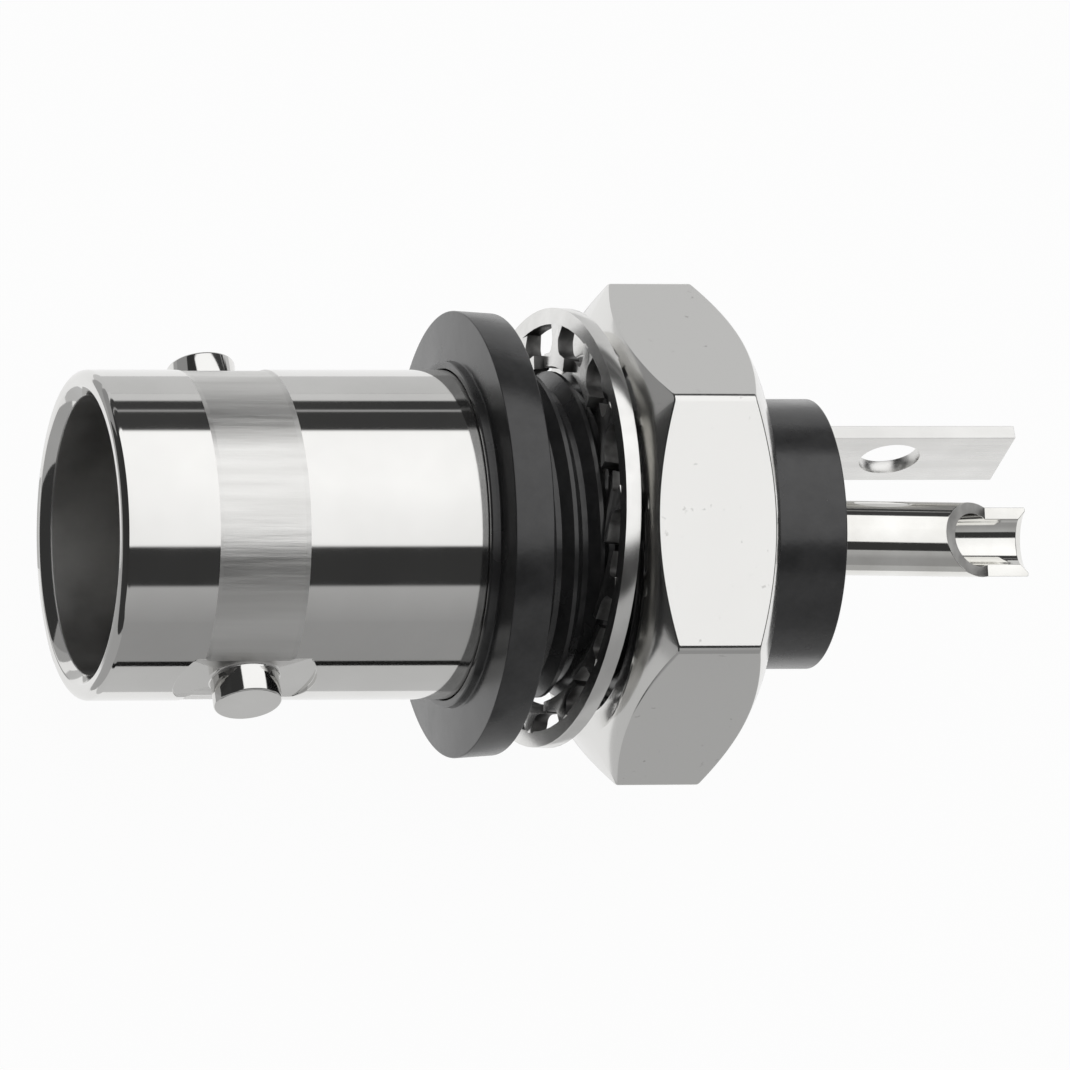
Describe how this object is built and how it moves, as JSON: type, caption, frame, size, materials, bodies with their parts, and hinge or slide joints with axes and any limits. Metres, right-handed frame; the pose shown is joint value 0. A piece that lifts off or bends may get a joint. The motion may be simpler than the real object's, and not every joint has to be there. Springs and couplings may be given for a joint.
{
  "type": "bnc panel jack",
  "caption": "Insulated panel-mount coaxial bayonet jack with plastic flange and threaded barrel, toothed lock washer, hex nut, earth tag and solder-cup contact.",
  "frame": {"origin": "on the connector's axis, in the plane of the flange's rear face that meets the panel", "axes": "+X along the axis towards the solder end, the bayonet studs along Y, the solder cup's open side mostly towards +Z"},
  "size_m": [0.0291, 0.0134, 0.0146],
  "materials": {
    "nickel": "bright nickel plate on turned brass, brushed at the waist",
    "black_plastic": "moulded, satin",
    "white_insulator": "turned fluoropolymer, satin",
    "contact_plating": "bright silver plate",
    "tag_plating": "satin tin plate on sheet metal",
    "washer_plating": "bright plate on stamped spring metal"
  },
  "bodies": {
    "jack": {"shell": "nickel", "housing": "black_plastic", "front_insulator": "white_insulator", "rear_insulator": "white_insulator", "centre_contact": "contact_plating", "earth_tag": "tag_plating"},
    "washer": {"lock_washer": "washer_plating"},
    "nut": {"hex_nut": "nickel"}
  },
  "joints": [
    {"name": "washer_slide", "type": "slide", "parent": "jack", "child": "washer", "axis": [1, 0, 0], "range_m": [-0.0007, 0.00405]},
    {"name": "nut_spin", "type": "hinge", "parent": "washer", "child": "nut", "pos_m": [0.00494, 0, 0], "axis": [1, 0, 0], "range_deg": [-310, 1830]}
  ],
  "couplings": [
    {"joint": "washer_slide", "follows": "nut_spin", "m_per_rad": 0.00012633}
  ]
}
